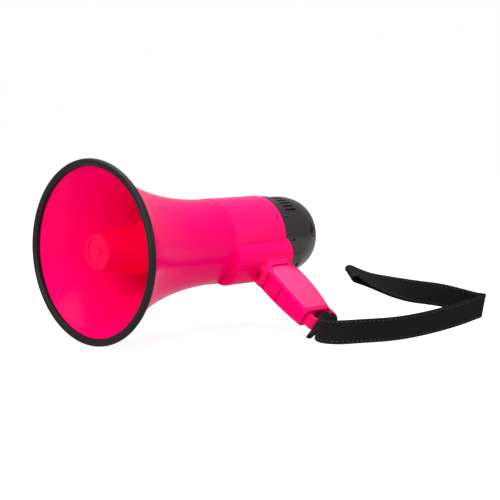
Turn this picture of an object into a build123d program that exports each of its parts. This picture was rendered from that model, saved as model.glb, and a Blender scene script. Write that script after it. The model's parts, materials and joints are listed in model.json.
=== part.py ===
"""Handheld megaphone with a folding pistol grip, millimetres.

The horn axis is the row's Y axis. The mouth faces -Y, and the origin is the centre of
the mouth, in the middle plane of the rubber rim. Z is up. The megaphone lies as it is
put down on a table: on its rim and the end of its handle, rolled ROLL degrees about
the horn axis. Sections that belong to the handle side are drawn as if the megaphone
were held upright, with g measured from the horn axis towards the handle.
"""
from build123d import *
import os
from math import cos, radians, sin

# ---------------------------------------------------------------- driving dimensions
ROLL = 54.3                # how far the megaphone is rolled over at rest, degrees
WALL = 2.0                 # moulded wall
RIM_R = 74.2               # rubber rim: radius of the ring, and of its section
RIM_TUBE = 3.3
RIM_LAND = 1.5             # half length of the plain bore in the rim
BELL_MOUTH_R = 75.0        # horn bell, outside
BELL_THROAT_R = 38.0
BELL_CONTROL_Y = 52.0      # where the flare's two end tangents meet
BELL_LENGTH = 130.4
CONE_FRONT_Y = 4.7         # reflector cone in the middle of the horn
CONE_FRONT_R = 15.5
CONE_REAR_Y = 104.0
CONE_REAR_R = 29.0
CONE_RECESS_R = 11.5
CONE_RECESS = 1.5
HOUSING_R = 38.3           # rear housing: cylinder and keel
HOUSING_REAR_Y = 194.4
KEEL_HALF = 21.6           # keel: half width, depth from the horn axis, corner radius
KEEL_DEPTH = 46.5
KEEL_CORNER = 18.0
KEEL_REAR_Y = 198.5
CAP_BAND_R = 37.4          # black rear cap
CAP_BAND_Y = 206.0
CAP_R = 36.2
CAP_DOME_Y = 224.0
CAP_END_Y = 246.4
CAP_END_R = 26.5
DOME_FULL = 0.68           # how square the dome's shoulder is
LUG_REAR_Y = 211.4
BAND_HALF_ANGLE = 111.0    # the proud band ends this far either side of the top
RIB_SLOTS = 27             # slots between the grip ribs round the cap
RIB_PITCH = 7.6
DIAL_R = 9.0               # volume thumbwheel, standing out of a slot in the cap
DIAL_CENTRE_R = 27.8
DIAL_TURN = 13.0
DIAL_Y = 233.4
BOARD_T = 1.6
BOARD_Y = DIAL_Y - 2.2 - BOARD_T
DOOR_HALF = 15.0           # battery door, half width
DOOR_TOP_G = 38.0
HANDLE_TOP_G = 50.9        # handle
HANDLE_END_G = 108.0
HANDLE_TOP = (38.5, 21.5)  # depth along Y and thickness at the top and the end
HANDLE_MIDDLE = (40.2, 20.5)
HANDLE_END = (33.8, 17.0)
HANDLE_CORNER = 4.6        # round along the handle's four long edges
HANDLE_TOP_Y = 177.6
HANDLE_MIDDLE_Y = 178.4
HANDLE_END_Y = 177.4
HANDLE_SHOULDER = 12.0     # round at the rear of the handle's top
COVER_X = 6.0              # parting plane between shell and cover
HINGE_Y = 160.5            # fold pivot
HINGE_G = 53.0
HINGE_PIN_R = 1.5
EAR_R = 3.5                # hinge ears: radius, and their span across the handle
EAR_INNER = 4.6
EAR_OUTER = 8.6
RUNNING = 0.05             # radial running clearance
BAIL_END_G = 118.6         # strap bail at the end of the handle
BAIL_BAR = 3.6
BAIL_GAP = 24.0
BAIL_Y = 181.5
BAIL_HALF = 5.5
SCREWS = ((190.0, 62.0, 9.2), (170.0, 97.0, 7.9), (185.0, 97.0, 7.9))    # along Y, g, head seat
TRIGGER_Y = 165.5          # trigger pivot
TRIGGER_G = 60.0
TRIGGER_HALF = 6.5
CELL_R = 7.25              # AA cell
CELL_LENGTH = 50.0
CELL_Y = 144.5
CELLS = [(-7.4, 34.2), (7.4, 34.2), (-11.9, 19.6), (11.9, 19.6)]
STRAP_W = 20.0             # woven strap, laid double
STRAP_T = 3.2

LEAN = Location((0, 0, 0), (0, -ROLL, 0))


def across(y):
    """Section across the horn axis: sketch x is the user's left, sketch y is g."""
    plane = Plane(origin=(0, y, 0), x_dir=(1, 0, 0), z_dir=(0, 1, 0))
    return Plane(LEAN * plane.location)


def side(x):
    """Side view: sketch x runs to the rear, sketch y is g; extrudes to the right."""
    plane = Plane(origin=(x, 0, 0), x_dir=(0, 1, 0), z_dir=(-1, 0, 0))
    return Plane(LEAN * plane.location)


def below(g):
    """View up the handle: sketch x runs to the rear, sketch y to the user's left."""
    plane = Plane(origin=(0, 0, -g), x_dir=(0, 1, 0), z_dir=(0, 0, -1))
    return Plane(LEAN * plane.location)


def save(name, label):
    name.part.label = label
    export_step(name.part, f"parts/{label}.step")


os.makedirs("parts", exist_ok=True)

# ---------------------------------------------------------------- horn
with BuildPart() as horn_bell:
    with BuildSketch(Plane.XY):
        with BuildLine():
            outer = Bezier((BELL_MOUTH_R, 0), (BELL_THROAT_R, BELL_CONTROL_Y), (BELL_THROAT_R, BELL_LENGTH))
            Polyline(
                (BELL_THROAT_R, BELL_LENGTH),
                (BELL_THROAT_R - 2.1, BELL_LENGTH),
                (BELL_THROAT_R - 2.1, BELL_LENGTH + 8),
                (BELL_THROAT_R - 3.9, BELL_LENGTH + 8),
                (BELL_THROAT_R - 3.9, BELL_LENGTH - 6),
                (BELL_THROAT_R - WALL, BELL_LENGTH - 12),
            )
            inner = Bezier(
                (BELL_THROAT_R - WALL, BELL_LENGTH - 12),
                (BELL_THROAT_R - WALL, BELL_CONTROL_Y),
                (BELL_MOUTH_R - WALL, 0),
            )
            Line(inner @ 1, outer @ 0)
        make_face()
    revolve(axis=Axis.Y)

with BuildPart() as rim_ring:
    with BuildSketch(Plane.XY):
        with Locations((RIM_R, 0)):
            Circle(RIM_TUBE)
        with Locations((RIM_R - RIM_TUBE - 0.35, 0)):
            Rectangle(1.4, 2 * RIM_LAND, mode=Mode.ADD)
        with Locations((RIM_R - RIM_TUBE - 1.0, 0)):
            Rectangle(2.0 + 0.5, 4 * RIM_LAND, mode=Mode.SUBTRACT)
    revolve(axis=Axis.Y)
    add(horn_bell.part, mode=Mode.SUBTRACT)

with BuildPart() as reflector_cone:
    with BuildSketch(Plane.XY):
        with BuildLine():
            Polyline(
                (0, CONE_FRONT_Y + CONE_RECESS),
                (CONE_RECESS_R, CONE_FRONT_Y + CONE_RECESS),
                (CONE_RECESS_R + 0.8, CONE_FRONT_Y),
                (CONE_FRONT_R - 1.2, CONE_FRONT_Y),
                (CONE_FRONT_R, CONE_FRONT_Y + 1.4),
                (CONE_REAR_R, CONE_REAR_Y),
                (CONE_REAR_R - WALL, CONE_REAR_Y),
                (CONE_FRONT_R - WALL, CONE_FRONT_Y + 4.0),
                (0, CONE_FRONT_Y + 4.0),
                close=True,
            )
        make_face()
    revolve(axis=Axis.Y)
    with Locations(Plane(origin=(0, CONE_FRONT_Y, 0), z_dir=(0, -1, 0))):
        Hole(radius=1.5)

TUBE_FRONT_Y = 24.0
TUBE_REAR_Y = BELL_LENGTH - 4.0
with BuildPart() as tone_tube:
    with BuildSketch(Plane.XY):
        with BuildLine():
            Polyline(
                (11.0, TUBE_FRONT_Y),
                (12.6, TUBE_FRONT_Y),
                (10.2, TUBE_REAR_Y),
                (34.0, TUBE_REAR_Y),
                (34.0, TUBE_REAR_Y + 3.0),
                (8.5, TUBE_REAR_Y + 3.0),
                close=True,
            )
        make_face()
    revolve(axis=Axis.Y)
    with BuildSketch(Plane.XZ.offset(-(CONE_FRONT_Y + 4.0))):
        Circle(3.2)
    extrude(amount=-34.0)
    for spoke in range(3):
        with BuildSketch(Plane.XZ.offset(-TUBE_FRONT_Y)):
            with Locations((7.0 * cos(radians(120 * spoke)), 7.0 * sin(radians(120 * spoke)))):
                Rectangle(9.4, 1.6, rotation=120 * spoke)
        extrude(amount=-18.0)
    with BuildSketch(Plane.XZ.offset(-(CONE_FRONT_Y + 4.0))):
        Circle(1.5)
    extrude(amount=-13.0, mode=Mode.SUBTRACT)

with BuildPart() as reflector_screw:
    with BuildSketch(Plane.XZ.offset(-(CONE_FRONT_Y + CONE_RECESS))):
        Circle(3.1)
    extrude(amount=1.4)
    with BuildSketch(Plane.XZ.offset(-(CONE_FRONT_Y + CONE_RECESS))):
        Circle(1.48)
    extrude(amount=-14.0)
    with BuildSketch(Plane.XZ.offset(-(CONE_FRONT_Y + CONE_RECESS - 1.4))):
        Rectangle(4.2, 0.9)
        Rectangle(0.9, 4.2)
    extrude(amount=-0.9, mode=Mode.SUBTRACT)

# ---------------------------------------------------------------- driver
DRIVER_Y = TUBE_REAR_Y + 3.0


def ring(r_out, r_in, y, length):
    """A plain ring, or a disc when r_in is 0, on the horn axis."""
    with BuildPart() as made:
        with BuildSketch(Plane.XZ.offset(-y)):
            Circle(r_out)
            if r_in:
                Circle(r_in, mode=Mode.SUBTRACT)
        extrude(amount=-length)
    return made


driver_gasket = ring(20.5, 8.6, DRIVER_Y, 0.8)
driver_front = ring(20.5, 8.5, DRIVER_Y + 0.8, 2.2)
diaphragm_clamp = ring(20.5, 15.4, DRIVER_Y + 3.0, 2.2)
voice_coil = ring(12.0, 11.4, DRIVER_Y + 4.3, 4.6)
driver_plate = ring(20.5, 12.4, DRIVER_Y + 5.2, 2.2)
driver_magnet = ring(20.5, 13.6, DRIVER_Y + 7.4, 4.2)

DOME_Y = DRIVER_Y + 3.4
with BuildPart() as diaphragm:
    with BuildSketch(Plane.XY):
        with BuildLine():
            dome = Bezier((0, DOME_Y + 3.0), (7.0, DOME_Y + 3.0), (12.0, DOME_Y))
            Polyline(dome @ 1, (15.3, DOME_Y), (15.3, DOME_Y + 0.4), (12.0, DOME_Y + 0.4))
            back = Bezier((12.0, DOME_Y + 0.4), (7.0, DOME_Y + 3.4), (0, DOME_Y + 3.4))
            Line(back @ 1, dome @ 0)
        make_face()
    revolve(axis=Axis.Y)

with BuildPart() as driver_yoke:
    with BuildSketch(Plane.XZ.offset(-(DRIVER_Y + 11.6))):
        Circle(20.5)
    extrude(amount=-2.6)
    with BuildSketch(Plane.XZ.offset(-(DRIVER_Y + 7.6))):
        Circle(10.9)
    extrude(amount=-4.0)

# ---------------------------------------------------------------- rear housing
KEEL_FRONT_Y = BELL_LENGTH


def keel_outline(grow=0.0):
    """The keel's section, a deep box with round corners, drawn grow larger all round."""
    with Locations((0, KEEL_DEPTH - KEEL_HALF)):
        RectangleRounded(2 * (KEEL_HALF + grow), 2 * (KEEL_HALF + grow), KEEL_CORNER + grow)


def on_keel_front(edge):
    """The outer corners of the keel's front face."""
    centre = edge.center(CenterOf.BOUNDING_BOX)
    return abs(centre.Y - KEEL_FRONT_Y) < 0.05 and (centre.X**2 + centre.Z**2) ** 0.5 > HOUSING_R + 0.5


with BuildPart() as rear_housing:
    with BuildSketch(Plane.XZ.offset(-BELL_LENGTH)):
        Circle(HOUSING_R)
    extrude(amount=-(HOUSING_REAR_Y - BELL_LENGTH))
    with BuildSketch(across(KEEL_FRONT_Y)):
        keel_outline()
    extrude(amount=KEEL_REAR_Y - KEEL_FRONT_Y)
    fillet(edges().filter_by(on_keel_front), radius=1.6)
    with BuildSketch(Plane.XZ.offset(-BELL_LENGTH)):
        Circle(HOUSING_R - 2.4)
    extrude(amount=-(KEEL_REAR_Y - BELL_LENGTH), mode=Mode.SUBTRACT)
    with BuildSketch(across(KEEL_FRONT_Y + 3.0)):
        keel_outline(-2.2)
    extrude(amount=KEEL_REAR_Y - KEEL_FRONT_Y, mode=Mode.SUBTRACT)
    with BuildSketch(across(HOUSING_REAR_Y)):
        Rectangle(90, 90)
        with Locations((0, 51)):
            Rectangle(90, 70, mode=Mode.SUBTRACT)
    extrude(amount=10, mode=Mode.SUBTRACT)

with BuildPart() as battery_holder:
    with BuildSketch(across(CELL_Y)):
        with Locations(*CELLS):
            Circle(CELL_R + 1.0)
        with BuildSketch(mode=Mode.INTERSECT):
            keel_outline(-2.25)
        with Locations(*CELLS):
            Circle(CELL_R + 0.1, mode=Mode.SUBTRACT)
        with Locations((0, 0)):
            Circle(14.0, mode=Mode.SUBTRACT)
    extrude(amount=CELL_LENGTH - 4)

with BuildPart() as cells:
    with BuildSketch(across(CELL_Y + 0.6)):
        with Locations(*CELLS):
            Circle(CELL_R)
    extrude(amount=CELL_LENGTH - 2.2)
    with BuildSketch(across(CELL_Y + CELL_LENGTH - 1.6)):
        with Locations(*CELLS):
            Circle(2.6)
    extrude(amount=1.4)

with BuildPart() as battery_contacts:
    with BuildSketch(across(CELL_Y)):
        with Locations(*CELLS):
            Circle(5.0)
    extrude(amount=0.5)
    with BuildSketch(across(CELL_Y + CELL_LENGTH - 0.1)):
        with Locations(*CELLS):
            Circle(5.0)
    extrude(amount=0.5)

# ---------------------------------------------------------------- rear cap
dial_place = Plane(
    origin=(DIAL_CENTRE_R * cos(radians(DIAL_TURN)), DIAL_Y, DIAL_CENTRE_R * sin(radians(DIAL_TURN))),
    x_dir=(cos(radians(DIAL_TURN)), 0, sin(radians(DIAL_TURN))),
    z_dir=(0, 1, 0),
)

with BuildPart() as rear_cap:
    with BuildSketch(Plane.XY):
        with BuildLine():
            Polyline(
                (0, CAP_END_Y - 5.0),
                (0, CAP_END_Y - 2.5),
                (20.2, CAP_END_Y - 2.5),
                (20.2, CAP_END_Y),
                (CAP_END_R, CAP_END_Y),
            )
            Bezier(
                (CAP_END_R, CAP_END_Y),
                (CAP_END_R + DOME_FULL * (CAP_R - CAP_END_R), CAP_END_Y),
                (CAP_R, CAP_END_Y - DOME_FULL * (CAP_END_Y - CAP_DOME_Y)),
                (CAP_R, CAP_DOME_Y),
            )
            Polyline(
                (CAP_R, CAP_DOME_Y),
                (CAP_R, CAP_BAND_Y + 0.8),
                (CAP_BAND_R, CAP_BAND_Y),
                (CAP_BAND_R, HOUSING_REAR_Y + 0.3),
                (CAP_R, HOUSING_REAR_Y),
                (CAP_R - 0.35, HOUSING_REAR_Y),
                (CAP_R - 0.35, HOUSING_REAR_Y - 6.0),
                (CAP_R - 2.3, HOUSING_REAR_Y - 6.0),
                (CAP_R - 2.3, CAP_DOME_Y),
            )
            Bezier(
                (CAP_R - 2.3, CAP_DOME_Y),
                (CAP_R - 2.3, CAP_END_Y - 5.0 - 0.3 * (CAP_END_Y - CAP_DOME_Y)),
                (CAP_END_R, CAP_END_Y - 5.0),
                (CAP_END_R - 2.5, CAP_END_Y - 5.0),
            )
            Line((CAP_END_R - 2.5, CAP_END_Y - 5.0), (0, CAP_END_Y - 5.0))
        make_face()
    revolve(axis=Axis.Y)
    with BuildSketch(across(KEEL_REAR_Y + 0.15)):
        keel_outline()
        with Locations((0, -20)):
            Rectangle(120, 84, mode=Mode.SUBTRACT)
        with Locations((0, 0)):
            Circle(CAP_R - 1.0, mode=Mode.SUBTRACT)
    extrude(amount=LUG_REAR_Y - KEEL_REAR_Y - 0.15)
    with BuildSketch(across(HOUSING_REAR_Y - 7.0)):
        keel_outline(0.15)
        with Locations((0, -24)):
            Rectangle(120, 79.4, mode=Mode.SUBTRACT)
    extrude(amount=KEEL_REAR_Y + 0.15 - HOUSING_REAR_Y + 7.0, mode=Mode.SUBTRACT)
    with BuildSketch(across(KEEL_REAR_Y)):
        with Locations((0, DOOR_TOP_G + 10)):
            Rectangle(2 * DOOR_HALF + 0.5, 20.5)
    extrude(amount=40.0, mode=Mode.SUBTRACT)
    with BuildSketch(across(HOUSING_REAR_Y - 7.0)):
        with Locations(*CELLS):
            Circle(CELL_R + 1.3)
        with Locations((0, 34)):
            Rectangle(26, 14)
    extrude(amount=9.5, mode=Mode.SUBTRACT)
    with BuildSketch(across(HOUSING_REAR_Y - 0.5)):
        Circle(CAP_BAND_R + 1.0)
        Circle(CAP_R + 0.1, mode=Mode.SUBTRACT)
        with BuildSketch(mode=Mode.INTERSECT):
            reach = 2 * CAP_BAND_R
            spread = radians(180 - BAND_HALF_ANGLE)
            with BuildLine():
                Polyline(
                    (0, 0),
                    (reach * sin(spread), reach * cos(spread)),
                    (reach * sin(spread), reach),
                    (-reach * sin(spread), reach),
                    (-reach * sin(spread), reach * cos(spread)),
                    close=True,
                )
            make_face()
    extrude(amount=CAP_BAND_Y - HOUSING_REAR_Y + 2.0, mode=Mode.SUBTRACT)
    for slot in range(RIB_SLOTS):
        angle = 90 + ROLL + (slot - (RIB_SLOTS - 1) / 2) * RIB_PITCH
        groove = Plane(
            origin=(CAP_R * cos(radians(angle)), 0, CAP_R * sin(radians(angle))),
            x_dir=(0, 1, 0),
            z_dir=(cos(radians(angle)), 0, sin(radians(angle))),
        )
        with BuildSketch(groove.offset(-1.7)):
            with Locations((214.6, 0)):
                SlotOverall(14.0, 2.3)
        extrude(amount=4, mode=Mode.SUBTRACT)
    with BuildSketch(dial_place.offset(-0.8)):
        Circle(DIAL_R + 0.6)
    extrude(amount=4.2, mode=Mode.SUBTRACT)
    with BuildSketch(across(CAP_END_Y - 5.6)):
        with Locations((0, -22.9)):
            Rectangle(8.6, 2.4)
    extrude(amount=8, mode=Mode.SUBTRACT)

with BuildPart() as battery_door:
    with BuildSketch(across(KEEL_REAR_Y + 0.3)):
        keel_outline(-0.05)
        with Locations((0, DOOR_TOP_G - 40)):
            Rectangle(120, 80.6, mode=Mode.SUBTRACT)
        with Locations((DOOR_HALF + 20, 30), (-DOOR_HALF - 20, 30)):
            Rectangle(40, 60, mode=Mode.SUBTRACT)
    extrude(amount=LUG_REAR_Y - KEEL_REAR_Y - 0.5)
    fillet(edges().group_by(Axis.Y)[-1], radius=1.2)
    with BuildSketch(across(KEEL_REAR_Y + 6.0)):
        with Locations((0, KEEL_DEPTH)):
            Rectangle(14, 1.6)
    extrude(amount=2.2, mode=Mode.SUBTRACT)

# ---------------------------------------------------------------- microphone and controls
with BuildPart() as mic_grille:
    with BuildSketch(Plane.XZ.offset(-(CAP_END_Y - 2.5))):
        Circle(20.0)
    extrude(amount=-1.8)
    with BuildSketch(Plane.XZ.offset(-(CAP_END_Y - 2.5))):
        for row, length in ((0, 30.0), (5.0, 28.0), (-5.0, 28.0), (10.0, 22.0), (-10.0, 22.0)):
            with Locations((0, row)):
                SlotOverall(length, 2.0, rotation=0)
    extrude(amount=-1.8, mode=Mode.SUBTRACT)

with BuildPart() as mic_capsule:
    with BuildSketch(Plane.XZ.offset(-(CAP_END_Y - 11.6))):
        Circle(4.85)
    extrude(amount=-6.5)
    fillet(edges().group_by(Axis.Y)[-1], radius=0.5)

with BuildPart() as control_board:
    with BuildSketch(across(BOARD_Y)):
        with Locations((0, -3)):
            Rectangle(42, 38)
    extrude(amount=BOARD_T)

with BuildPart() as amplifier:
    with BuildSketch(across(BOARD_Y - 8.0)):
        with Locations((-6, -12)):
            Rectangle(20, 10)
    extrude(amount=8.0)

with BuildPart() as capacitors:
    with BuildSketch(across(BOARD_Y - 11.0)):
        with Locations((10, -14), (-14, 6), (12, -3)):
            Circle(4.0)
    extrude(amount=11.0)

with BuildPart() as volume_dial:
    with BuildSketch(dial_place):
        Circle(DIAL_R)
        with PolarLocations(DIAL_R, 24):
            Circle(0.35, mode=Mode.SUBTRACT)
        Circle(1.55, mode=Mode.SUBTRACT)
    extrude(amount=2.6)

with BuildPart() as volume_control:
    with BuildSketch(dial_place.offset(-2.0)):
        Circle(1.5)
    extrude(amount=4.2)
    with BuildSketch(dial_place.offset(-2.0)):
        with Locations((-3.0, 0)):
            Rectangle(10, 9)
    extrude(amount=1.4)

with BuildPart() as mode_switch:
    with BuildSketch(across(CAP_END_Y - 6.0)):
        with Locations((-2.0, -22.9)):
            Rectangle(4.0, 2.0)
    extrude(amount=7.2)
    fillet(edges().group_by(Axis.Y)[-1], radius=0.5)

with BuildPart() as mode_switch_body:
    with BuildSketch(across(CAP_END_Y - 12.4)):
        with Locations((0, -22.9)):
            Rectangle(11, 4.6)
    extrude(amount=6.2)

# ---------------------------------------------------------------- handle hinge
with BuildPart() as hinge_plate:
    with BuildSketch(below(40.0)):
        with Locations((178.2, 0)):
            RectangleRounded(29.5, 25.0, 6.0)
    extrude(amount=HANDLE_TOP_G - 0.6 - 40.0)
    with BuildSketch(side(20)):
        with Locations((HINGE_Y, HINGE_G)):
            Circle(EAR_R + 0.95)
    extrude(amount=40, mode=Mode.SUBTRACT)
    for ear_left in (EAR_OUTER, -EAR_INNER):
        with BuildSketch(side(ear_left)):
            with Locations((HINGE_Y, HINGE_G)):
                Circle(EAR_R)
            with Locations((HINGE_Y, HINGE_G - 5.0)):
                Rectangle(2 * EAR_R, 10.0)
            with Locations((HINGE_Y + 6.0, HINGE_G - 6.4)):
                Rectangle(12.0, 7.2)
        extrude(amount=EAR_OUTER - EAR_INNER)
    with BuildSketch(side(12)):
        with Locations((HINGE_Y, HINGE_G)):
            Circle(HINGE_PIN_R)
    extrude(amount=24, mode=Mode.SUBTRACT)
    with BuildSketch(across(KEEL_FRONT_Y)):
        keel_outline()
    extrude(amount=KEEL_REAR_Y - KEEL_FRONT_Y, mode=Mode.SUBTRACT)

with BuildPart() as hinge_pin:
    with BuildSketch(side(EAR_OUTER)):
        with Locations((HINGE_Y, HINGE_G)):
            Circle(HINGE_PIN_R)
    extrude(amount=2 * EAR_OUTER)


# ---------------------------------------------------------------- handle
def grip_section(size, shrink):
    """One rounded cross-section of the grip."""
    RectangleRounded(size[0] - 2 * shrink, size[1] - 2 * shrink, HANDLE_CORNER - shrink)


def handle_body(shrink):
    """The grip as one lofted solid, drawn in by shrink on every side."""
    with BuildPart() as grip:
        with BuildSketch(below(HANDLE_TOP_G + shrink)):
            with Locations((HANDLE_TOP_Y, 0)):
                grip_section(HANDLE_TOP, shrink)
        with BuildSketch(below((HANDLE_TOP_G + HANDLE_END_G) / 2)):
            with Locations((HANDLE_MIDDLE_Y, 0)):
                grip_section(HANDLE_MIDDLE, shrink)
        with BuildSketch(below(HANDLE_END_G - shrink)):
            with Locations((HANDLE_END_Y, 0)):
                grip_section(HANDLE_END, shrink)
        loft()
        radius = HANDLE_SHOULDER - shrink
        centre_y = HANDLE_TOP_Y + HANDLE_TOP[0] / 2 - HANDLE_SHOULDER + 0.4
        centre_g = HANDLE_TOP_G + HANDLE_SHOULDER
        with BuildSketch(side(HANDLE_TOP[1])):
            with Locations((centre_y + HANDLE_SHOULDER, centre_g - HANDLE_SHOULDER)):
                Rectangle(2 * HANDLE_SHOULDER, 2 * HANDLE_SHOULDER)
            with Locations((centre_y, centre_g)):
                Circle(radius, mode=Mode.SUBTRACT)
        extrude(amount=2 * HANDLE_TOP[1], mode=Mode.SUBTRACT)
    return grip.part


grip_outside = handle_body(0.0)
grip_inside = handle_body(2.2)

with BuildPart() as grip_shell:
    add(grip_outside)
    add(grip_inside, mode=Mode.SUBTRACT)
    for boss_y, boss_g, _ in SCREWS:
        with BuildSketch(side(12.5)):
            with Locations((boss_y, boss_g)):
                Circle(3.2)
        extrude(amount=24.0)
    for boss_left in (10.5, -TRIGGER_HALF - 0.4):
        with BuildSketch(side(boss_left)):
            with Locations((TRIGGER_Y, TRIGGER_G)):
                Circle(2.4)
        extrude(amount=3.6)
    add(grip_outside, mode=Mode.INTERSECT)
    with BuildSketch(side(12.0)):
        with Locations((TRIGGER_Y, TRIGGER_G)):
            Circle(1.0)
    extrude(amount=24.0, mode=Mode.SUBTRACT)
    with BuildSketch(side(TRIGGER_HALF + 0.35)):
        with Locations((TRIGGER_Y - 10.5, TRIGGER_G + 7.2)):
            Rectangle(18.0, 20.0)
    extrude(amount=2 * TRIGGER_HALF + 0.7, mode=Mode.SUBTRACT)
    with BuildSketch(side(9.0)):
        for boss_y, boss_g, _ in SCREWS:
            with Locations((boss_y, boss_g)):
                Circle(1.3)
    extrude(amount=40.0, mode=Mode.SUBTRACT)
    for boss_y, boss_g, seat in SCREWS:
        with BuildSketch(side(-seat)):
            with Locations((boss_y, boss_g)):
                Circle(2.6)
        extrude(amount=10.0, mode=Mode.SUBTRACT)
    for notch_left in (EAR_OUTER + 0.3, -EAR_INNER + 0.3):
        with BuildSketch(side(notch_left)):
            with Locations((HINGE_Y, HINGE_G)):
                Circle(EAR_R + 1.0)
        extrude(amount=EAR_OUTER - EAR_INNER + 0.6, mode=Mode.SUBTRACT)

with BuildPart() as handle_cover:
    add(grip_shell.part)
    split(bisect_by=side(COVER_X), keep=Keep.BOTTOM)

with BuildPart() as handle_shell:
    add(grip_shell.part)
    split(bisect_by=side(COVER_X), keep=Keep.TOP)
    with BuildSketch(side(BAIL_HALF)):
        with Locations((BAIL_Y, (HANDLE_END_G - 5.0 + BAIL_END_G) / 2)):
            RectangleRounded(BAIL_GAP + 2 * BAIL_BAR, BAIL_END_G - HANDLE_END_G + 5.0, 6.0)
        with Locations((BAIL_Y, (HANDLE_END_G + BAIL_END_G - BAIL_BAR) / 2)):
            RectangleRounded(BAIL_GAP, BAIL_END_G - BAIL_BAR - HANDLE_END_G, 2.6, mode=Mode.SUBTRACT)
    extrude(amount=2 * BAIL_HALF)
    add(grip_inside, mode=Mode.SUBTRACT)
    with BuildSketch(side(EAR_INNER - 0.4)):
        with Locations((HINGE_Y, HINGE_G)):
            Circle(EAR_R + 0.4)
    extrude(amount=2 * EAR_INNER - 0.8)
    with BuildSketch(side(12)):
        with Locations((HINGE_Y, HINGE_G)):
            Circle(HINGE_PIN_R + RUNNING)
    extrude(amount=24, mode=Mode.SUBTRACT)

with BuildPart() as grip_screws:
    for boss_y, boss_g, seat in SCREWS:
        with BuildSketch(side(-seat)):
            with Locations((boss_y, boss_g)):
                Circle(2.4)
        extrude(amount=1.3)
        with BuildSketch(side(-seat)):
            with Locations((boss_y, boss_g)):
                Circle(1.28)
        extrude(amount=-14.0)

with BuildPart() as trigger:
    with BuildSketch(side(TRIGGER_HALF)):
        with BuildLine():
            Polyline(
                (TRIGGER_Y - 2.5, TRIGGER_G - 2.4),
                (TRIGGER_Y + 2.0, TRIGGER_G - 2.0),
                (TRIGGER_Y + 2.0, TRIGGER_G + 3.0),
                (TRIGGER_Y - 2.5, TRIGGER_G + 13.6),
                (TRIGGER_Y - 5.9, TRIGGER_G + 15.8),
            )
            Bezier(
                (TRIGGER_Y - 5.9, TRIGGER_G + 15.8),
                (TRIGGER_Y - 11.9, TRIGGER_G + 13.6),
                (TRIGGER_Y - 8.7, TRIGGER_G + 4.0),
                (TRIGGER_Y - 7.1, TRIGGER_G - 1.2),
            )
            Line((TRIGGER_Y - 7.1, TRIGGER_G - 1.2), (TRIGGER_Y - 2.5, TRIGGER_G - 2.4))
        make_face()
    extrude(amount=2 * TRIGGER_HALF)
    with BuildSketch(side(12)):
        with Locations((TRIGGER_Y, TRIGGER_G)):
            Circle(1.0 + RUNNING)
    extrude(amount=24, mode=Mode.SUBTRACT)

with BuildPart() as trigger_pin:
    with BuildSketch(side(9.8)):
        with Locations((TRIGGER_Y, TRIGGER_G)):
            Circle(1.0)
    extrude(amount=19.6)

with BuildPart() as talk_switch:
    with BuildSketch(side(3.2)):
        with Locations((TRIGGER_Y + 8.9, TRIGGER_G + 10.0)):
            Rectangle(7.0, 13.0)
    extrude(amount=6.4)

# ---------------------------------------------------------------- wrist strap
# The doubled strap is hitched round the bail, lies on its edge on the table, folds
# back on itself behind the handle and ends in the air. Each stop is a point of its
# centre line and the lean of its width from upright, in degrees.
STRAP_NEAR = [
    ((109, 165, -67.2), 0),
    ((115, 153, -67.3), 0),
    ((127, 146, -67.3), 0),
    ((140, 150, -67.3), 0),
    ((150, 164, -67.2), 0),
    ((164, 192, -66.8), 0),
    ((173, 222, -64.5), 0),
    ((180, 256, -60.5), 0),
    ((184, 290, -56.5), 0),
]
STRAP_FAR = [
    ((178, 291, -54.0), 0),
    ((163, 262, -45.5), 4),
    ((151, 226, -38.5), 20),
    ((141, 198, -30.5), 48),
    ((132, 176, -21.5), 66),
]


def strap_leg(stops):
    """A plain band through the stops, one ruled span between each two."""
    with BuildPart() as leg:
        for number, (point, lean) in enumerate(stops):
            before = Vector(*stops[max(number - 1, 0)][0])
            after = Vector(*stops[min(number + 1, len(stops) - 1)][0])
            along = Vector(after.X - before.X, after.Y - before.Y, 0).normalized()
            up = Vector(0, 0, 1).rotate(Axis((0, 0, 0), (along.X, along.Y, 0)), lean)
            with BuildSketch(Plane(origin=point, x_dir=up, z_dir=along)):
                Rectangle(STRAP_W, STRAP_T)
        loft(ruled=True)
    return leg


strap_near = strap_leg(STRAP_NEAR)
strap_far = strap_leg(STRAP_FAR)

with BuildPart() as strap_hitch:
    with BuildSketch(across(BAIL_Y - STRAP_W / 2)):
        with Locations((0, BAIL_END_G - BAIL_BAR / 2)):
            RectangleRounded(2 * BAIL_HALF + 3.6, BAIL_BAR + 3.4, 2.6)
            Rectangle(2 * BAIL_HALF + 0.6, BAIL_BAR + 0.6, mode=Mode.SUBTRACT)
    extrude(amount=STRAP_W)

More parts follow.
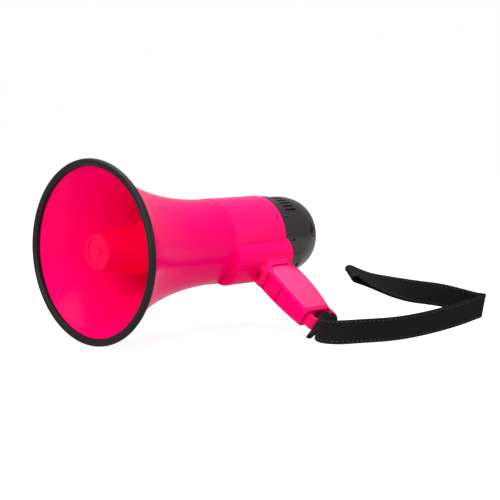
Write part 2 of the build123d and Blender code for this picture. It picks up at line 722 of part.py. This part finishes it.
for name, label in (
    (horn_bell, "horn_bell"),
    (rim_ring, "rim_ring"),
    (reflector_cone, "reflector_cone"),
    (tone_tube, "tone_tube"),
    (reflector_screw, "reflector_screw"),
    (driver_gasket, "driver_gasket"),
    (driver_front, "driver_front"),
    (diaphragm_clamp, "diaphragm_clamp"),
    (diaphragm, "diaphragm"),
    (voice_coil, "voice_coil"),
    (driver_plate, "driver_plate"),
    (driver_magnet, "driver_magnet"),
    (driver_yoke, "driver_yoke"),
    (rear_housing, "rear_housing"),
    (battery_holder, "battery_holder"),
    (cells, "battery_cells"),
    (battery_contacts, "battery_contacts"),
    (rear_cap, "rear_cap"),
    (battery_door, "battery_door"),
    (mic_grille, "mic_grille"),
    (mic_capsule, "mic_capsule"),
    (control_board, "control_board"),
    (amplifier, "amplifier"),
    (capacitors, "capacitors"),
    (volume_dial, "volume_dial"),
    (volume_control, "volume_control"),
    (mode_switch, "mode_switch"),
    (mode_switch_body, "mode_switch_body"),
    (hinge_plate, "hinge_plate"),
    (hinge_pin, "hinge_pin"),
    (handle_shell, "handle_shell"),
    (handle_cover, "handle_cover"),
    (grip_screws, "grip_screws"),
    (trigger, "trigger"),
    (trigger_pin, "trigger_pin"),
    (talk_switch, "talk_switch"),
    (strap_hitch, "strap_hitch"),
    (strap_near, "strap_near"),
    (strap_far, "strap_far"),
):
    save(name, label)
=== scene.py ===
"""Looks for the handheld megaphone: materials, strap, grip panel, floor, light and camera.

The row frame is in metres: the horn axis is Y with the mouth at -Y, and Z is up. The
megaphone lies rolled over by ROLL degrees, so lean() turns a point given as if it were
held upright (user's left, rear, distance below the horn axis) into the row frame.
"""
import json
from math import cos, pi, radians, sin

import bmesh
import bpy
from mathutils import Matrix, Vector


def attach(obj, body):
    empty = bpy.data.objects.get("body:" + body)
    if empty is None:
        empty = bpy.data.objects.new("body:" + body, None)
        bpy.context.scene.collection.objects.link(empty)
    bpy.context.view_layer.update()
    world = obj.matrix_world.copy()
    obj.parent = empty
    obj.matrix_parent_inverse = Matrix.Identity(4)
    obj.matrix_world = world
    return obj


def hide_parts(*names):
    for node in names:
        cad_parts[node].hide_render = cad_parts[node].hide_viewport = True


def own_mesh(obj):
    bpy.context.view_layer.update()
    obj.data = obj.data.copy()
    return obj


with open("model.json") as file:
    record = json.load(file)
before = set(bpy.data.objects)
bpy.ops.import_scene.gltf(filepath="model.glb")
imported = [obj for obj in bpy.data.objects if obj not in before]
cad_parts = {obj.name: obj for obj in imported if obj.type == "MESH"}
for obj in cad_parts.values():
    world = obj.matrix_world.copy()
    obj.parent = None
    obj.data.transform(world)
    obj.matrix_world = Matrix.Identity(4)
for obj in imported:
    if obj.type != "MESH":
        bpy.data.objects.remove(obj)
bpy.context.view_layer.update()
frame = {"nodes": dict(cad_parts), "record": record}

ROLL = 54.3
FLOOR_Z = -0.0775
MM = 0.001


def lean(left, rear, below):
    """An upright-held point in millimetres, turned into the row frame in metres."""
    c, s = cos(radians(ROLL)), sin(radians(ROLL))
    return Vector((left * c + below * s, rear, left * s - below * c)) * MM


def lean_vector(left, rear, below):
    return lean(left, rear, below).normalized()


# ------------------------------------------------------------------ materials
def new_material(name):
    material = bpy.data.materials.new(name)
    material.use_nodes = True
    tree = material.node_tree
    return material, tree.nodes, tree.links, tree.nodes["Principled BSDF"]


def noise(nodes, links, vector, scale, detail=2.0, roughness=0.5):
    node = nodes.new("ShaderNodeTexNoise")
    node.inputs["Scale"].default_value = scale
    node.inputs["Detail"].default_value = detail
    node.inputs["Roughness"].default_value = roughness
    links.new(vector, node.inputs["Vector"])
    return node.outputs["Fac"]


def remap(nodes, links, value, low, high, start=0.0, end=1.0):
    node = nodes.new("ShaderNodeMapRange")
    node.inputs["From Min"].default_value = start
    node.inputs["From Max"].default_value = end
    node.inputs["To Min"].default_value = low
    node.inputs["To Max"].default_value = high
    links.new(value, node.inputs["Value"])
    return node.outputs["Result"]


def blend_colours(nodes, links, factor, first, second):
    node = nodes.new("ShaderNodeMix")
    node.data_type = "RGBA"
    links.new(factor, node.inputs[0])
    node.inputs[6].default_value = (*first, 1.0)
    node.inputs[7].default_value = (*second, 1.0)
    return node.outputs[2]


def bump(nodes, links, height, strength, distance, normal=None):
    node = nodes.new("ShaderNodeBump")
    node.inputs["Strength"].default_value = strength
    node.inputs["Distance"].default_value = distance
    links.new(height, node.inputs["Height"])
    if normal is not None:
        links.new(normal, node.inputs["Normal"])
    return node.outputs["Normal"]


MOTTLE_SCALE, SCUFF_SCALE, WAVE_SCALE = 28.0, 95.0, 42.0      # noise scales, per metre
WAVE_DEPTH = 0.06 * MM
EDGE_START, EDGE_END = 0.55, 0.66         # pointiness at which an edge starts to look rubbed


def moulded(name, colour, other, rough, grain=1400.0, grain_depth=0.02 * MM, metallic=0.0,
            specular=0.5, wear=0.0, wear_colour=(0.9, 0.9, 0.9), tint=(1.0, 1.0, 1.0)):
    """Moulded or pressed material: faint mottling, fine grain, scuffed gloss and rubbed edges."""
    material, nodes, links, shader = new_material(name)
    place = nodes.new("ShaderNodeTexCoord").outputs["Object"]
    mottle = noise(nodes, links, place, MOTTLE_SCALE, 3.0)
    base = blend_colours(nodes, links, remap(nodes, links, mottle, 0.0, 1.0, 0.35, 0.65), colour, other)
    if wear:
        edge = nodes.new("ShaderNodeNewGeometry").outputs["Pointiness"]
        rubbed = remap(nodes, links, edge, 0.0, wear, EDGE_START, EDGE_END)
        node = nodes.new("ShaderNodeMix")
        node.data_type = "RGBA"
        links.new(rubbed, node.inputs[0])
        links.new(base, node.inputs[6])
        node.inputs[7].default_value = (*wear_colour, 1.0)
        base = node.outputs[2]
    links.new(base, shader.inputs["Base Color"])
    scuff = noise(nodes, links, place, SCUFF_SCALE, 6.0, 0.65)
    links.new(remap(nodes, links, scuff, rough * 0.82, rough * 1.25, 0.3, 0.7), shader.inputs["Roughness"])
    fine = noise(nodes, links, place, grain, 2.0)
    wave = noise(nodes, links, place, WAVE_SCALE, 1.0)
    soft = bump(nodes, links, wave, 0.12, WAVE_DEPTH)
    links.new(bump(nodes, links, fine, 0.5, grain_depth, soft), shader.inputs["Normal"])
    shader.inputs["Metallic"].default_value = metallic
    shader.inputs["Specular IOR Level"].default_value = specular
    shader.inputs["Specular Tint"].default_value = (*tint, 1.0)
    return material


PINK = moulded("pink_plastic", (1.0, 0.0, 0.150), (0.97, 0.0, 0.140), 0.20, specular=0.10, wear=0.12,
               wear_colour=(1.0, 0.06, 0.22), tint=(1.0, 0.30, 0.50))
# A redder copy of the pink: painted shade for the deep reflector cone, standing in for light bounced
# inside the horn.
PINK_PAINTED_INNER_SHADE = moulded("pink_plastic_painted_inner_shade", (1.0, 0.0, 0.080), (0.98, 0.0, 0.072), 0.30, specular=0.12,
                      tint=(1.0, 0.3, 0.45))
# A paler copy of the pink: a painted highlight for the grip's side panel, which faces up into the light.
PANEL_PAINTED_LIGHT = moulded("pink_panel_painted_light", (1.0, 0.030, 0.20), (0.97, 0.024, 0.19), 0.42, specular=0.45, wear=0.12,
                wear_colour=(1.0, 0.16, 0.34))
BLACK = moulded("black_plastic", (0.014, 0.009, 0.0105), (0.019, 0.012, 0.014), 0.16, specular=0.60,
                wear=0.35, wear_colour=(0.07, 0.06, 0.06))
RUBBER = moulded("rim_rubber", (0.008, 0.006, 0.007), (0.012, 0.009, 0.011), 0.48, grain=2600.0,
                 grain_depth=0.03 * MM, wear=0.15, wear_colour=(0.04, 0.036, 0.04), specular=0.22)
STEEL = moulded("plated_steel", (0.55, 0.55, 0.56), (0.46, 0.46, 0.48), 0.28, metallic=1.0)
FERRITE = moulded("ferrite", (0.045, 0.045, 0.050), (0.030, 0.030, 0.034), 0.55)
FILM = moulded("pressed_film", (0.55, 0.33, 0.10), (0.45, 0.27, 0.08), 0.35)
COPPER = moulded("copper_wire", (0.70, 0.28, 0.12), (0.60, 0.22, 0.09), 0.30, metallic=1.0)
FOAM = moulded("foam_rubber", (0.018, 0.018, 0.020), (0.030, 0.030, 0.032), 0.85, grain=900.0)
BOARD = moulded("circuit_board", (0.012, 0.14, 0.045), (0.016, 0.17, 0.055), 0.40)
JACKET = moulded("cell_sleeve", (0.045, 0.075, 0.13), (0.055, 0.085, 0.15), 0.30)
INNER = moulded("inner_plastic", (0.040, 0.040, 0.044), (0.055, 0.055, 0.060), 0.50)

SLOT_LOOKS = {
    "horn_plastic": PINK, "black_plastic": BLACK, "rim_rubber": RUBBER, "steel": STEEL, "ferrite": FERRITE,
    "film": FILM, "copper": COPPER, "gasket": FOAM, "board_green": BOARD, "cell_jacket": JACKET,
    "spring_steel": STEEL, "inner_plastic": INNER, "strap_fabric": FOAM,
}
# The reflector cone gets the redder pink copy, painted shade from light bounced inside the horn.
OWN_LOOKS = {"reflector_cone": PINK_PAINTED_INNER_SHADE}
for part in frame["record"]["subparts"]:
    node = frame["nodes"][part["node"]]
    look = OWN_LOOKS.get(part["node"], SLOT_LOOKS[part["material_slot"]])
    if not node.material_slots:
        node.data.materials.append(look)
    for holder in node.material_slots:
        holder.material = look


# ------------------------------------------------------------------ helpers for new pieces
def mesh_from(tools, name, outward=True):
    """Turns finished bmesh tools into a mesh."""
    if outward:
        bmesh.ops.recalc_face_normals(tools, faces=tools.faces)
    mesh = bpy.data.meshes.new(name)
    tools.to_mesh(mesh)
    tools.free()
    return mesh


def piece(name, mesh, material, body):
    obj = bpy.data.objects.new(name, mesh)
    bpy.context.collection.objects.link(obj)
    mesh.materials.append(material)
    for face in mesh.polygons:
        face.use_smooth = True
    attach(obj, body)
    return obj


# ------------------------------------------------------------------ strap
WEB_W = 20.0 * MM          # webbing width and thickness
WEB_T = 1.35 * MM
WEB_GAP = 0.25 * MM        # between the two layers
RIB_PITCH = 1.1 * MM       # the weave, along and across the webbing
YARN_PITCH = 0.8 * MM
WEAVE_DEPTH = 0.3 * MM
STITCH_PITCH = 3.4 * MM
STITCH_EDGE = 1.9 * MM     # the stitches' line, from the webbing's edge
STRAP_STEP = 2.0 * MM
# The middle of the doubled strap, bail to fold and fold to loop: points in millimetres, each
# with the lean of the webbing's width from upright in degrees.
STRAP_NEAR = [
    ((101, 178.5, -67.2), 0), ((106.5, 163, -67.2), -6), ((114.2, 152.0, -67.3), -10),
    ((127, 144.5, -67.7), -20), ((140, 148.5, -67.6), -18), ((150, 163.5, -67.2), -6),
    ((164, 192, -66.8), 0), ((173, 222, -64.7), 0), ((180, 256, -60.7), 0), ((183, 288, -56.5), 0),
]
STRAP_FAR = [
    ((183.5, 292, -55.8), 0), ((181.4, 294.4, -55.4), 0), ((178.8, 293, -55.0), 0),
    ((176.5, 287, -53.6), 0), ((163, 262, -45.5), 4), ((151, 226, -38.5), 20),
    ((141, 198, -30.5), 48), ((132, 176, -21.5), 66),
]
FOLD_SHEAR = 0.32          # how far the fold's upper edge runs past its lower edge
FOLD_REACH = 34.0 * MM     # either side of the fold
FOLD_LEAN = Vector((0.1, 1.0, 0.0))
LOOP_OPEN = 2.2 * MM       # how far the layers part at the loop end
LOOP_ROWS = 11             # rows over which they part
LOOP_ROUND = 1.3           # length of the loop's end, against its half width
LOOP_CUTS = 10
SPLINE_CUTS = 24


def spline(stops, step):
    """Catmull-Rom curve through (point, lean) stops, resampled to even steps in metres."""
    points = [Vector(stop[0]) * MM for stop in stops]
    leans = [radians(stop[1]) for stop in stops]
    fine = []
    for i in range(len(points) - 1):
        a, b, c, d = points[max(i - 1, 0)], points[i], points[i + 1], points[min(i + 2, len(points) - 1)]
        for k in range(SPLINE_CUTS):
            t = k / SPLINE_CUTS
            place = 0.5 * (2 * b + (c - a) * t + (2 * a - 5 * b + 4 * c - d) * t * t
                           + (3 * b - a - 3 * c + d) * t ** 3)
            fine.append((place, leans[i] + (leans[i + 1] - leans[i]) * t))
    fine.append((points[-1], leans[-1]))
    run = [0.0]
    for (p, _), (q, _) in zip(fine, fine[1:]):
        run.append(run[-1] + (q - p).length)
    count = max(2, round(run[-1] / step))
    out, k = [], 0
    for i in range(count + 1):
        want = run[-1] * i / count
        while k < len(run) - 2 and run[k + 1] < want:
            k += 1
        share = (want - run[k]) / max(run[k + 1] - run[k], 1e-9)
        tilt = fine[k][1] + (fine[k + 1][1] - fine[k][1]) * share
        out.append((fine[k][0].lerp(fine[k + 1][0], share), tilt))
    return out


def heading(stations, i):
    """The way the line runs at one of its stations."""
    before, after = stations[max(i - 1, 0)][0], stations[min(i + 1, len(stations) - 1)][0]
    return (after - before).normalized()


def strap_frames(stations):
    """Place, direction, width direction and face normal at each station of the strap."""
    rows = []
    fold = max(range(len(stations)), key=lambda k: stations[k][0].y)
    for i, (place, tilt) in enumerate(stations):
        along = heading(stations, i)
        flat = Vector((along.x, along.y, 0)).normalized()
        up = Matrix.Rotation(tilt, 3, flat) @ Vector((0, 0, 1))
        up = (up - along * up.dot(along)).normalized()
        normal = along.cross(up)
        near_fold = max(0.0, 1.0 - abs(i - fold) * STRAP_STEP / FOLD_REACH)
        up += FOLD_LEAN * FOLD_SHEAR * near_fold ** 1.5
        rows.append((place, along, up, normal))
    return rows


def web_profile():
    """Half-rounded outline of one layer, with its woven edges a little thicker than its middle."""
    half, t = WEB_W / 2, WEB_T / 2
    body_edge, selvedge = (half - 2.4 * MM, t * 0.86), (half - 1.2 * MM, t * 1.02)
    outline = []
    for side in (1, -1):
        outline.append((side * body_edge[0], side * body_edge[1]))
        outline.append((side * selvedge[0], side * selvedge[1]))
        for turn in (60, 0, -60):
            outline.append((side * (half - t + t * cos(radians(turn))), side * t * sin(radians(turn))))
        outline.append((side * selvedge[0], -side * selvedge[1]))
        outline.append((side * body_edge[0], -side * body_edge[1]))
    return outline


def sweep(mesh_tools, rows, profile, uv):
    """Sweeps a closed profile along rows and caps the ends; uv is (across, along) in metres."""
    rings, runs, run = [], [], 0.0
    for i, (place, _, up, normal) in enumerate(rows):
        if i:
            run += (place - rows[i - 1][0]).length
        runs.append(run)
        rings.append([mesh_tools.verts.new(place + up * a + normal * b) for a, b in profile])
    for i in range(len(rings) - 1):
        for k in range(len(profile)):
            n = (k + 1) % len(profile)
            face = mesh_tools.faces.new((rings[i][k], rings[i][n], rings[i + 1][n], rings[i + 1][k]))
            for loop in face.loops:
                ring_index = i if loop.vert in (rings[i][k], rings[i][n]) else i + 1
                which = k if loop.vert in (rings[i][k], rings[i + 1][k]) else n
                loop[uv].uv = (profile[which][0], runs[ring_index])
    mesh_tools.faces.new(rings[0])
    mesh_tools.faces.new(list(reversed(rings[-1])))
    return run


def strap_layers():
    """The whole run of webbing as one band: out on one side of the middle line, and back on the other."""
    middle = strap_frames(spline(STRAP_NEAR + STRAP_FAR, STRAP_STEP))
    offset = (WEB_T + WEB_GAP) / 2
    last = len(middle) - 1
    out_rows = []
    back_rows = []
    for i, (place, along, up, normal) in enumerate(middle):
        open_up = max(0.0, 1.0 - (last - i) / LOOP_ROWS) ** 2 * LOOP_OPEN
        out_rows.append((place + normal * (offset + open_up), along, up, normal))
        back_rows.append((place - normal * (offset + open_up), -along, up, -normal))
    end_place, end_along, end_up, end_normal = middle[-1]
    turn_rows = []
    reach = offset + LOOP_OPEN
    for k in range(1, LOOP_CUTS):
        angle = pi * k / LOOP_CUTS
        place = end_place + end_normal * reach * cos(angle) + end_along * reach * LOOP_ROUND * sin(angle)
        normal = end_normal * cos(angle) + end_along * sin(angle)
        turn_rows.append((place, end_normal * -sin(angle) + end_along * cos(angle), end_up, normal))
    return out_rows + turn_rows + list(reversed(back_rows))


def bands(nodes, links, uv, direction, pitch, distortion, detail_scale=1.0):
    """Wave bands a pitch apart: the texture repeats every 2 pi / (20 x Scale)."""
    wave = nodes.new("ShaderNodeTexWave")
    wave.bands_direction = direction
    wave.inputs["Scale"].default_value = 2 * pi / (20.0 * pitch)
    wave.inputs["Distortion"].default_value = distortion
    wave.inputs["Detail Scale"].default_value = detail_scale
    links.new(uv, wave.inputs["Vector"])
    return wave.outputs["Fac"]


def product(nodes, links, first, second):
    node = nodes.new("ShaderNodeMath")
    node.operation = "MULTIPLY"
    links.new(first, node.inputs[0])
    links.new(second, node.inputs[1])
    return node.outputs[0]


def webbing_material():
    """Black woven webbing: transverse ribs crossed by a fine chevron, with lighter worn crowns."""
    material, nodes, links, shader = new_material("black_webbing")
    coords = nodes.new("ShaderNodeTexCoord")
    ribs = bands(nodes, links, coords.outputs["UV"], "Y", RIB_PITCH, 0.6, detail_scale=3.0)
    yarns = bands(nodes, links, coords.outputs["UV"], "X", YARN_PITCH, 0.4)
    weave = product(nodes, links, ribs, yarns)
    patch = noise(nodes, links, coords.outputs["Object"], 60.0, 3.0)
    crowns = product(nodes, links, weave, patch)
    links.new(blend_colours(nodes, links, crowns, (0.003, 0.003, 0.0035), (0.016, 0.016, 0.018)),
              shader.inputs["Base Color"])
    links.new(remap(nodes, links, patch, 0.62, 0.82), shader.inputs["Roughness"])
    links.new(bump(nodes, links, weave, 0.8, WEAVE_DEPTH), shader.inputs["Normal"])
    shader.inputs["Specular IOR Level"].default_value = 0.12
    return material


WEBBING = webbing_material()
THREAD = moulded("stitch_thread", (0.030, 0.030, 0.032), (0.050, 0.050, 0.053), 0.7, grain=3000.0)


def add_strap():
    rows = strap_layers()
    tools = bmesh.new()
    uv = tools.loops.layers.uv.new("weave")
    length = sweep(tools, rows, web_profile(), uv)
    webbing = piece("strap_webbing", mesh_from(tools, "strap_webbing"), WEBBING, "handle")
    return webbing, add_stitches(rows), length


def add_stitches(rows):
    """A line of raised stitches along both edges of the webbing's outer face."""
    tools = bmesh.new()
    run, due = 0.0, 0.0
    for before, row in zip(rows, rows[1:]):
        run += (row[0] - before[0]).length
        if run < due:
            continue
        due = run + STITCH_PITCH
        place, along, up, normal = row
        for side in (-1, 1):
            middle = place + up * side * (WEB_W / 2 - STITCH_EDGE) + normal * (WEB_T / 2)
            stitch(tools, middle, along, up, normal)
    mesh = mesh_from(tools, "strap_stitches", outward=False)
    return piece("strap_stitches", mesh, THREAD, "handle")


STITCH_OUTLINE = [(-1.2, 0), (-0.8, -0.3), (0.8, -0.3), (1.2, 0), (0.8, 0.3), (-0.8, 0.3)]
STITCH_SUNK, STITCH_HIGH = 0.15 * MM, 0.28 * MM
STITCH_CROWN = 0.55        # size of the top, against the outline


def stitch(tools, middle, along, up, normal):
    """One raised stitch: a low oblong crown, sunk a little into the webbing."""
    low = [middle + along * a * MM + up * b * MM - normal * STITCH_SUNK for a, b in STITCH_OUTLINE]
    base = [tools.verts.new(point) for point in low]
    high = [middle + (point - middle) * STITCH_CROWN + normal * STITCH_HIGH for point in low]
    crown = [tools.verts.new(point) for point in high]
    for k in range(len(base)):
        n = (k + 1) % len(base)
        tools.faces.new((base[k], base[n], crown[n], crown[k]))
    tools.faces.new(crown)
    tools.faces.new(list(reversed(base)))


BAIL_Y, BAIL_BELOW = 181.5, 116.8         # middle of the bail's bar
BAR_HALF_LEFT, BAR_HALF_BELOW = 5.5, 1.8  # half its section
BAR_CORNER = 1.6
CORNER_GROWTH = 0.6                       # how fast a turn's corner grows with its clearance
FLAT_SIDES = 2.2                          # how much of each turn round the bar runs straight
WRAP_CLEAR = (1.0, 2.5)                   # from the bar to the middle of each turn of webbing
KEEPER_STOPS = [
    ((89.5, 183, -63.0), 0), ((94.5, 180, -62.6), 0), ((100.0, 174, -64.6), 0),
    ((103.2, 164, -68.2), 0), ((106.9, 154.5, -71.6), 0), ((110.3, 145.0, -74.4), 0),
]
KEEPER_STEP = 1.5 * MM
KEEPER_ACROSS = Vector((0.80, 0.35, 0.20)).normalized()
KEEPER_HALF, KEEPER_THICK = 4.6 * MM, 2.2 * MM
KEEPER_START, KEEPER_TAPER = 1.2, 0.5     # its swell at the bail, and how much of that it loses
KEEPER_RIDGE = 0.06                       # ridges of the gathered webbing
KEEPER_SIDES = 16


def rounded_box(part, half, corner):
    """One coordinate of a rounded rectangle, from the cosine or sine of the angle round it."""
    return (half - corner) * (1 if part > 0 else -1) * min(1.0, abs(part) * FLAT_SIDES) + corner * part


def wrap_rows(clear, turns=40):
    """Rows of a band wound once round the bail's bar, its width along the bar."""
    ring = []
    corner = BAR_CORNER + clear * CORNER_GROWTH
    for k in range(turns + 1):
        angle = 2 * pi * k / turns
        ring.append((rounded_box(cos(angle), BAR_HALF_LEFT + clear, corner),
                     rounded_box(sin(angle), BAR_HALF_BELOW + clear, corner)))
    up = Vector((0.0, 1.0, 0.0))
    rows = []
    for k, (left, below) in enumerate(ring):
        before, after = ring[k - 1 if k else -2], ring[(k + 1) % len(ring) or 1]
        along = lean_vector(after[0] - before[0], 0, after[1] - before[1])
        rows.append((lean(left, BAIL_Y, BAIL_BELOW + below), along, up, along.cross(up)))
    return rows


def band_piece(name, rows_list, profile):
    tools = bmesh.new()
    uv = tools.loops.layers.uv.new("weave")
    for rows in rows_list:
        sweep(tools, rows, profile, uv)
    return piece(name, mesh_from(tools, name), WEBBING, "handle")


def add_hitch():
    """The hitch: two turns round the bail's bar, and the gathered loop that closes over them."""
    wrap = band_piece("strap_wrap", [wrap_rows(clear) for clear in WRAP_CLEAR], web_profile())
    rows = []
    stations = spline(KEEPER_STOPS, KEEPER_STEP)
    for i, (place, _) in enumerate(stations):
        along = heading(stations, i)
        up = (KEEPER_ACROSS - along * KEEPER_ACROSS.dot(along)).normalized()
        swell = KEEPER_START - KEEPER_TAPER * i / len(stations)
        rows.append((place, along, up * swell, along.cross(up) * swell))
    profile = []
    for k in range(KEEPER_SIDES):
        angle = 2 * pi * k / KEEPER_SIDES
        ridge = 1.0 + KEEPER_RIDGE * cos(3 * angle)
        profile.append((KEEPER_HALF * cos(angle) * ridge, KEEPER_THICK * sin(angle)))
    return wrap, band_piece("strap_keeper", [rows], profile)


strap, stitches, strap_length = add_strap()
wrap, keeper = add_hitch()
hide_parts("strap_hitch")
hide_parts("strap_near", "strap_far")
for soft in (strap, stitches, keeper):
    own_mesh(soft)


# ------------------------------------------------------------------ side panel of the grip
# The grip's sections: distance below the horn axis, front edge, rear edge and half thickness.
GRIP_SECTIONS = [(50.9, 158.35, 196.85, 10.75), (79.45, 158.3, 198.5, 10.25), (108.0, 160.5, 194.3, 8.5)]
PANEL_TOP, PANEL_END = 52.2, 105.6        # distance below the horn axis
PANEL_EDGE = 3.3                          # from the grip's front and rear edges
PANEL_LIFT = 0.45
PANEL_CROWN = 0.5
ARCH_FRONT, ARCH_REAR = 9.0, 15.0         # rounds at the top of the panel
END_ROUND = 5.0
PANEL_FADE = 2.0                          # over which the panel rises from either end
PANEL_SUNK, PANEL_RIM, PANEL_BEVEL = -0.6, 0.05, 0.5
PANEL_ROWS, PANEL_COLUMNS = 44, 8
END_GAP = 0.25                            # keeps the first and last rows from closing to a point


def grip_at(below_axis):
    """Front edge, rear edge and half thickness of the grip at a distance below the horn axis."""
    first, middle, last = GRIP_SECTIONS
    low, high = (first, middle) if below_axis < middle[0] else (middle, last)
    share = (below_axis - low[0]) / (high[0] - low[0])
    return [a + (b - a) * share for a, b in zip(low[1:], high[1:])]


def rounded_in(depth, radius):
    """How far an edge has drawn in at this depth from the end of a round of that radius."""
    if depth >= radius:
        return 0.0
    return radius - (radius ** 2 - (radius - depth) ** 2) ** 0.5


def add_side_panel():
    """The gently crowned panel with an arched top that lies on the grip's cover, its paler pink a painted
    highlight from the light above.
    """
    tools = bmesh.new()
    rings = []
    for i in range(PANEL_ROWS + 1):
        below_axis = PANEL_TOP + (PANEL_END - PANEL_TOP) * (i / PANEL_ROWS) ** 1.5
        from_top, from_end = below_axis - PANEL_TOP + END_GAP, PANEL_END - below_axis + END_GAP
        front, rear, face = grip_at(below_axis)
        front += PANEL_EDGE + rounded_in(from_top, ARCH_FRONT) + rounded_in(from_end, END_ROUND)
        rear -= PANEL_EDGE + rounded_in(from_top, ARCH_REAR) + rounded_in(from_end, END_ROUND)
        fade = min(1.0, from_top / PANEL_FADE, from_end / PANEL_FADE)
        across = [(front, PANEL_SUNK), (front, PANEL_RIM)]
        for k in range(PANEL_COLUMNS + 1):
            crown = PANEL_CROWN * fade * (1 - (2 * k / PANEL_COLUMNS - 1) ** 2)
            flat_width = rear - front - 2 * PANEL_BEVEL
            y = front + PANEL_BEVEL + flat_width * k / PANEL_COLUMNS
            across.append((y, PANEL_LIFT * fade + crown))
        across += [(rear, PANEL_RIM), (rear, PANEL_SUNK)]
        rings.append([tools.verts.new(lean(face + lift, y, below_axis)) for y, lift in across])
    for low, high in zip(rings, rings[1:]):
        for k in range(len(low)):
            n = (k + 1) % len(low)
            tools.faces.new((low[k], low[n], high[n], high[k]))
    tools.faces.new(rings[0])
    tools.faces.new(list(reversed(rings[-1])))
    piece("side_panel", mesh_from(tools, "side_panel"), PANEL_PAINTED_LIGHT, "handle")


add_side_panel()


# ------------------------------------------------------------------ reflector boss
def lathe(name, outline, turns, material, body):
    """A solid turned about the horn axis from (radius, y) points in millimetres."""
    tools = bmesh.new()
    rings = []
    for radius, y in outline:
        if radius == 0:
            rings.append([tools.verts.new((0, y * MM, 0))])
        else:
            angles = [2 * pi * k / turns for k in range(turns)]
            ring = [(radius * cos(angle) * MM, y * MM, radius * sin(angle) * MM) for angle in angles]
            rings.append([tools.verts.new(point) for point in ring])
    for low, high in zip(rings, rings[1:]):
        for k in range(turns):
            n = (k + 1) % turns
            if len(low) == 1:
                tools.faces.new((low[0], high[k], high[n]))
            elif len(high) == 1:
                tools.faces.new((low[k], high[0], low[n]))
            else:
                tools.faces.new((low[k], high[k], high[n], low[n]))
    return piece(name, mesh_from(tools, name), material, body)


PLUG_OUTLINE = [
    (0, 6.0), (0.9, 6.0), (0.9, 5.0), (1.3, 4.7), (3.2, 4.6), (4.4, 5.0), (4.8, 6.1), (4.8, 7.0),
    (1.4, 7.0), (1.4, 19.0), (0, 19.0),
]
# The plug takes the reflector cone's redder pink, painted shade from light bounced inside the horn.
plug = lathe("reflector_plug", PLUG_OUTLINE, 64, PINK_PAINTED_INNER_SHADE, "megaphone")
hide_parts("reflector_screw")


# ------------------------------------------------------------------ floor, light, camera
FLOOR_REACH = 14.0
FLOOR_BOUNCE, FLOOR_GLOW = 0.26, 0.86     # its own light, on the object and as it is seen
SKY, BACKDROP = 0.42, 1.0                 # the white surround, as it lights and as it is seen
WHITE = (1.0, 1.0, 1.0, 1.0)
MIDDLE = (0.03, 0.10, 0.0)
AREA_LIGHTS = [
    ("overhead", (-0.05, 0.15, 1.20), (1.0, 1.6), 19.0),
    ("front", (0.55, -1.60, 0.70), (0.9, 0.7), 20.0),
    ("rear_side", (1.30, 0.75, 0.50), (0.6, 0.7), 5.0),
]


def add_floor():
    mesh = bpy.data.meshes.new("floor")
    turns = ((-1, -1), (1, -1), (1, 1), (-1, 1))
    mesh.from_pydata([(x * FLOOR_REACH, y * FLOOR_REACH, FLOOR_Z) for x, y in turns], [], [(0, 1, 2, 3)])
    floor = bpy.data.objects.new("floor", mesh)
    bpy.context.collection.objects.link(floor)
    material, nodes, links, shader = new_material("floor_white")
    place = nodes.new("ShaderNodeTexCoord").outputs["Object"]
    patches = noise(nodes, links, place, 3.0)
    tone = blend_colours(nodes, links, patches, (0.36, 0.36, 0.36), (0.38, 0.38, 0.38))
    links.new(tone, shader.inputs["Base Color"])
    shader.inputs["Roughness"].default_value = 0.9
    shader.inputs["Specular IOR Level"].default_value = 0.0
    shader.inputs["Emission Color"].default_value = WHITE
    seen = nodes.new("ShaderNodeLightPath").outputs["Is Camera Ray"]
    links.new(remap(nodes, links, seen, FLOOR_BOUNCE, FLOOR_GLOW), shader.inputs["Emission Strength"])
    mesh.materials.append(material)


def add_area(name, place, size, power):
    light = bpy.data.lights.new(name, "AREA")
    light.shape = "RECTANGLE"
    light.size, light.size_y = size
    light.energy = power
    lamp = bpy.data.objects.new(name, light)
    bpy.context.collection.objects.link(lamp)
    lamp.location = place
    lamp.rotation_euler = (Vector(MIDDLE) - Vector(place)).to_track_quat("-Z", "Y").to_euler()


def add_world():
    """A white surround: soft light on the object, and pure white where the camera sees it."""
    world = bpy.data.worlds.new("studio")
    bpy.context.scene.world = world
    world.use_nodes = True
    nodes, links = world.node_tree.nodes, world.node_tree.links
    sky = nodes["Background"]
    sky.inputs["Strength"].default_value = SKY
    backdrop = nodes.new("ShaderNodeBackground")
    backdrop.inputs["Strength"].default_value = BACKDROP
    for shade in (sky, backdrop):
        shade.inputs["Color"].default_value = WHITE
    seen = nodes.new("ShaderNodeLightPath")
    either = nodes.new("ShaderNodeMixShader")
    links.new(seen.outputs["Is Camera Ray"], either.inputs[0])
    links.new(sky.outputs[0], either.inputs[1])
    links.new(backdrop.outputs[0], either.inputs[2])
    links.new(either.outputs[0], nodes["World Output"].inputs[0])


def add_camera():
    data = bpy.data.cameras.new("camera")
    data.lens = 100.0
    data.sensor_width = 36.0
    camera = bpy.data.objects.new("camera", data)
    bpy.context.collection.objects.link(camera)
    camera.location = (0.8804, -0.72566, 0.11657)
    camera.rotation_euler = (radians(90.0 - 5.759), 0.0, radians(43.966))
    bpy.context.scene.camera = camera


add_floor()
add_camera()
for lamp_name, lamp_place, lamp_size, lamp_power in AREA_LIGHTS:
    add_area(lamp_name, lamp_place, lamp_size, lamp_power)
add_world()
bpy.context.scene.view_settings.view_transform = "Standard"
